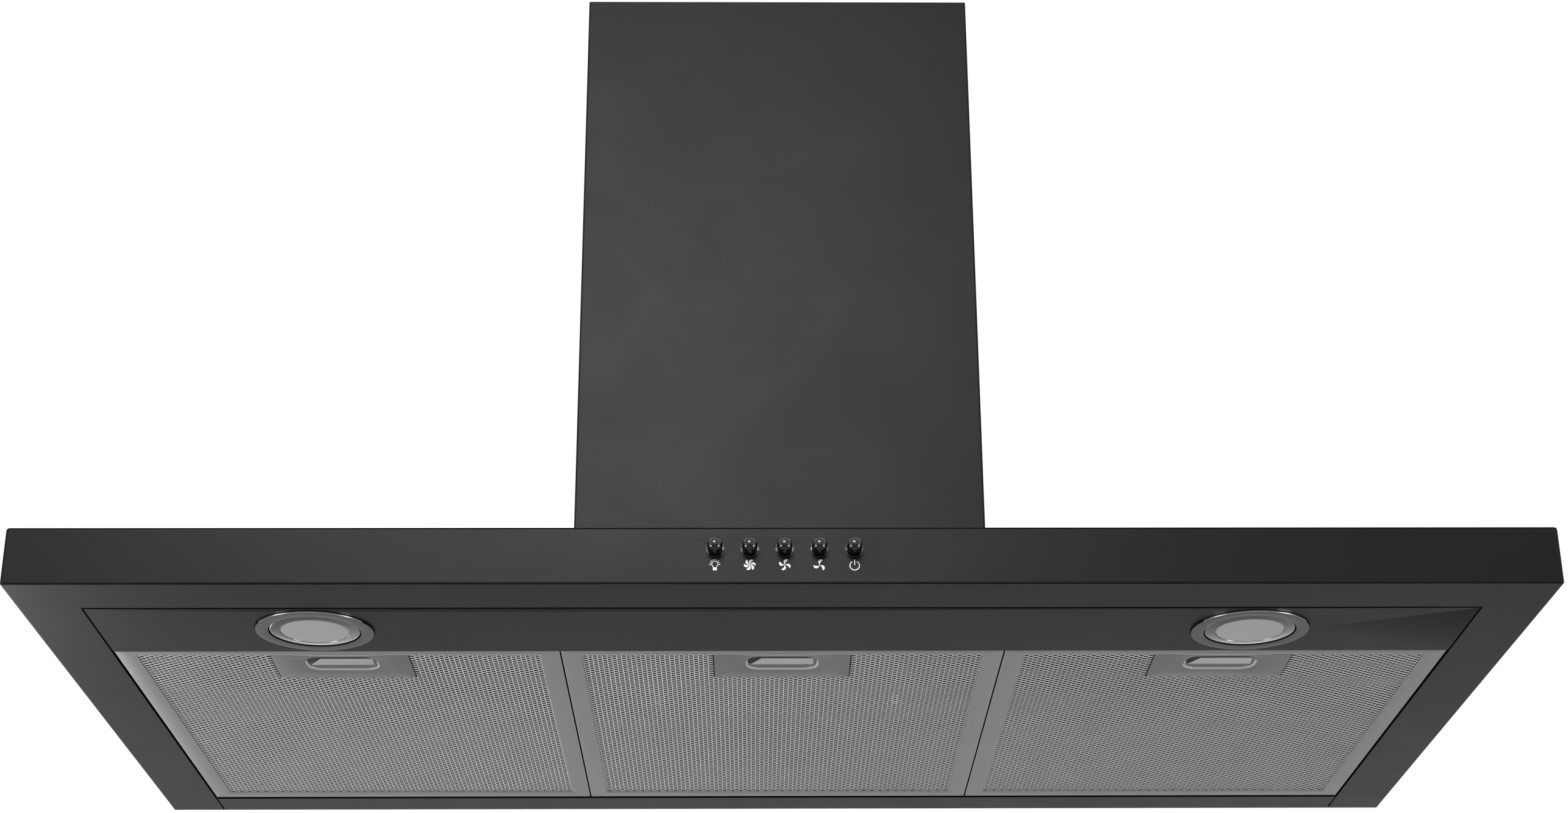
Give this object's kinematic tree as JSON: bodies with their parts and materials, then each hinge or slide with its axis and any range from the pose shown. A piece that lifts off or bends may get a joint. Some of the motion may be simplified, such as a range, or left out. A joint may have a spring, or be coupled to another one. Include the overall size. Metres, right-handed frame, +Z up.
{
  "type": "chimney range hood",
  "caption": "Wall chimney range hood: a flat box canopy with drop-down grease filters, round lamps and push buttons, under a telescopic flue that hides its blower and damper.",
  "frame": {"origin": "on the wall plane, at the middle of the canopy's width and level with its underside", "axes": "+X to the right for someone facing the hood, +Y into the wall, +Z up; the front looks along -Y"},
  "size_m": [0.9, 0.506, 0.5495],
  "materials": {
    "black_enamel": "satin black powder coat",
    "galvanised_steel": "galvanised sheet",
    "zinc_steel": "zinc plated steel",
    "spring_steel": "bare spring steel",
    "filter_aluminium": "bare rolled and expanded aluminium",
    "latch_grey": "grey moulded plastic",
    "lamp_steel": "satin dark nickel",
    "lamp_reflector": "satin trim ring",
    "frosted_glass": "frosted white",
    "lamp_can_metal": "pressed aluminium",
    "black_chrome": "black chrome",
    "black_plastic": "black moulded",
    "blower_plastic": "dark grey moulded",
    "impeller_plastic": "grey moulded",
    "white_plastic": "white moulded",
    "motor_metal": "grey motor casing"
  },
  "bodies": {
    "root": {"canopy_shell": "black_enamel", "base_frame": "black_enamel", "back_panel": "galvanised_steel", "base_frame_nuts": "zinc_steel", "motor_box": "galvanised_steel", "blower_screws": "zinc_steel", "fan_scroll": "blower_plastic", "fan_scroll_cover": "blower_plastic", "motor_mount": "galvanised_steel", "motor_body": "motor_metal", "capacitor": "white_plastic", "terminal_box": "white_plastic", "terminal_box_lid": "white_plastic", "cable_gland": "black_plastic", "outlet_collar": "black_plastic", "flap_rod": "zinc_steel", "lower_flue": "black_enamel", "flue_screws": "black_enamel", "switch_block": "black_plastic", "button_guides": "black_plastic", "lamp_clips": "spring_steel", "lamp_bezel_left": "lamp_steel", "lamp_bezel_right": "lamp_steel", "lamp_reflector_left": "lamp_reflector", "lamp_reflector_right": "lamp_reflector", "lamp_glass_left": "frosted_glass", "lamp_glass_right": "frosted_glass", "lamp_can_left": "lamp_can_metal", "lamp_can_right": "lamp_can_metal"},
    "upper_flue": {"upper_flue": "black_enamel", "flue_bracket": "galvanised_steel", "flue_bracket_screws": "zinc_steel"},
    "fan_rotor": {"motor_shaft": "zinc_steel", "impeller": "impeller_plastic"},
    "flap_front": {"flap_front": "impeller_plastic"},
    "flap_rear": {"flap_rear": "impeller_plastic"},
    "filter_left": {"filter_frame_left": "filter_aluminium", "filter_net_left": "filter_aluminium", "filter_back_net_left": "filter_aluminium", "latch_plate_left": "latch_grey", "latch_spring_left": "spring_steel"},
    "latch_left": {"latch_slider_left": "latch_grey"},
    "filter_middle": {"filter_frame_middle": "filter_aluminium", "filter_net_middle": "filter_aluminium", "filter_back_net_middle": "filter_aluminium", "latch_plate_middle": "latch_grey", "latch_spring_middle": "spring_steel"},
    "latch_middle": {"latch_slider_middle": "latch_grey"},
    "filter_right": {"filter_frame_right": "filter_aluminium", "filter_net_right": "filter_aluminium", "filter_back_net_right": "filter_aluminium", "latch_plate_right": "latch_grey", "latch_spring_right": "spring_steel"},
    "latch_right": {"latch_slider_right": "latch_grey"},
    "button_light": {"button_light": "black_chrome"},
    "button_speed_3": {"button_speed_3": "black_chrome"},
    "button_speed_2": {"button_speed_2": "black_chrome"},
    "button_speed_1": {"button_speed_1": "black_chrome"},
    "button_power": {"button_power": "black_chrome"}
  },
  "joints": [
    {"name": "filter_tilt_left", "type": "hinge", "parent": "root", "child": "filter_left", "pos_m": [-0.27487, -0.0344, 0.0015], "axis": [1, 0, 0], "range_deg": [0, 60]},
    {"name": "latch_pull_left", "type": "slide", "parent": "filter_left", "child": "latch_left", "axis": [0, 1, 0], "range_m": [0, 0.005], "stiffness_N_per_m": 400, "springref_m": -0.002, "deforming": ["latch_spring_left"]},
    {"name": "filter_tilt_middle", "type": "hinge", "parent": "root", "child": "filter_middle", "pos_m": [0, -0.0344, 0.0015], "axis": [1, 0, 0], "range_deg": [0, 60]},
    {"name": "latch_pull_middle", "type": "slide", "parent": "filter_middle", "child": "latch_middle", "axis": [0, 1, 0], "range_m": [0, 0.005], "stiffness_N_per_m": 400, "springref_m": -0.002, "deforming": ["latch_spring_middle"]},
    {"name": "filter_tilt_right", "type": "hinge", "parent": "root", "child": "filter_right", "pos_m": [0.27487, -0.0344, 0.0015], "axis": [1, 0, 0], "range_deg": [0, 60]},
    {"name": "latch_pull_right", "type": "slide", "parent": "filter_right", "child": "latch_right", "axis": [0, 1, 0], "range_m": [0, 0.005], "stiffness_N_per_m": 400, "springref_m": -0.002, "deforming": ["latch_spring_right"]},
    {"name": "button_light_push", "type": "slide", "parent": "root", "child": "button_light", "axis": [0, 1, 0], "range_m": [0, 0.003], "stiffness_N_per_m": 300, "springref_m": -0.002},
    {"name": "button_speed_3_push", "type": "slide", "parent": "root", "child": "button_speed_3", "axis": [0, 1, 0], "range_m": [0, 0.003], "stiffness_N_per_m": 300, "springref_m": -0.002},
    {"name": "button_speed_2_push", "type": "slide", "parent": "root", "child": "button_speed_2", "axis": [0, 1, 0], "range_m": [0, 0.003], "stiffness_N_per_m": 300, "springref_m": -0.002},
    {"name": "button_speed_1_push", "type": "slide", "parent": "root", "child": "button_speed_1", "axis": [0, 1, 0], "range_m": [0, 0.003], "stiffness_N_per_m": 300, "springref_m": -0.002},
    {"name": "button_power_push", "type": "slide", "parent": "root", "child": "button_power", "axis": [0, 1, 0], "range_m": [0, 0.003], "stiffness_N_per_m": 300, "springref_m": -0.002},
    {"name": "fan_spin", "type": "hinge", "parent": "root", "child": "fan_rotor", "pos_m": [0, -0.09, 0.131], "axis": [1, 0, 0], "continuous": true},
    {"name": "flap_front_swing", "type": "hinge", "parent": "root", "child": "flap_front", "pos_m": [0, -0.137, 0.3525], "axis": [-1, 0, 0], "range_deg": [0, 75]},
    {"name": "flap_rear_swing", "type": "hinge", "parent": "root", "child": "flap_rear", "pos_m": [0, -0.137, 0.3525], "axis": [1, 0, 0], "range_deg": [0, 75]},
    {"name": "upper_flue_slide", "type": "slide", "parent": "root", "child": "upper_flue", "axis": [0, 0, 1], "range_m": [0, 0.35]}
  ]
}
